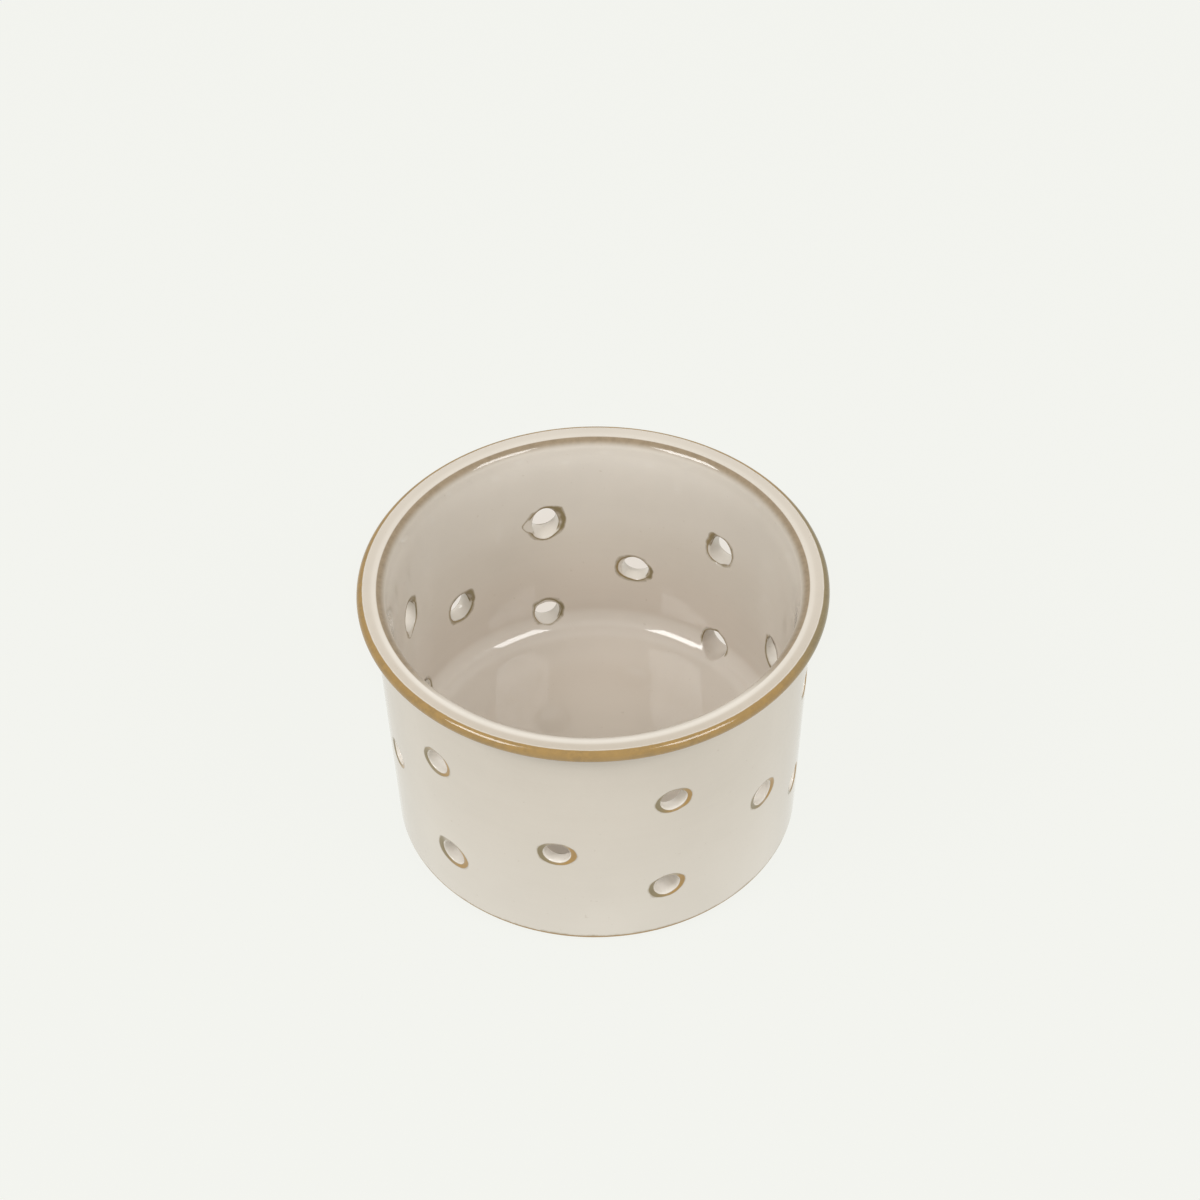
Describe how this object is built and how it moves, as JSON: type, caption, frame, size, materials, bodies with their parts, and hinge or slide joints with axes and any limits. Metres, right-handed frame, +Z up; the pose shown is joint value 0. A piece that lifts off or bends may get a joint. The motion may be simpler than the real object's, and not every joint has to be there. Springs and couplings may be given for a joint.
{
  "type": "cheese mold",
  "caption": "Small round stoneware cheese mold: a lipped cup with drain holes through its wall, for draining fresh curd.",
  "frame": {"origin": "centre of the foot, on the surface that the mold stands on", "axes": "+Z up along the cup's axis, out of its open mouth; -Y is the side taken as the front"},
  "size_m": [0.1, 0.1, 0.065],
  "materials": {
    "fired_stoneware": "matte",
    "cream_glaze": "gloss"
  },
  "bodies": {
    "root": {"stoneware_body": "fired_stoneware", "glaze_coat": "cream_glaze"}
  },
  "joints": []
}
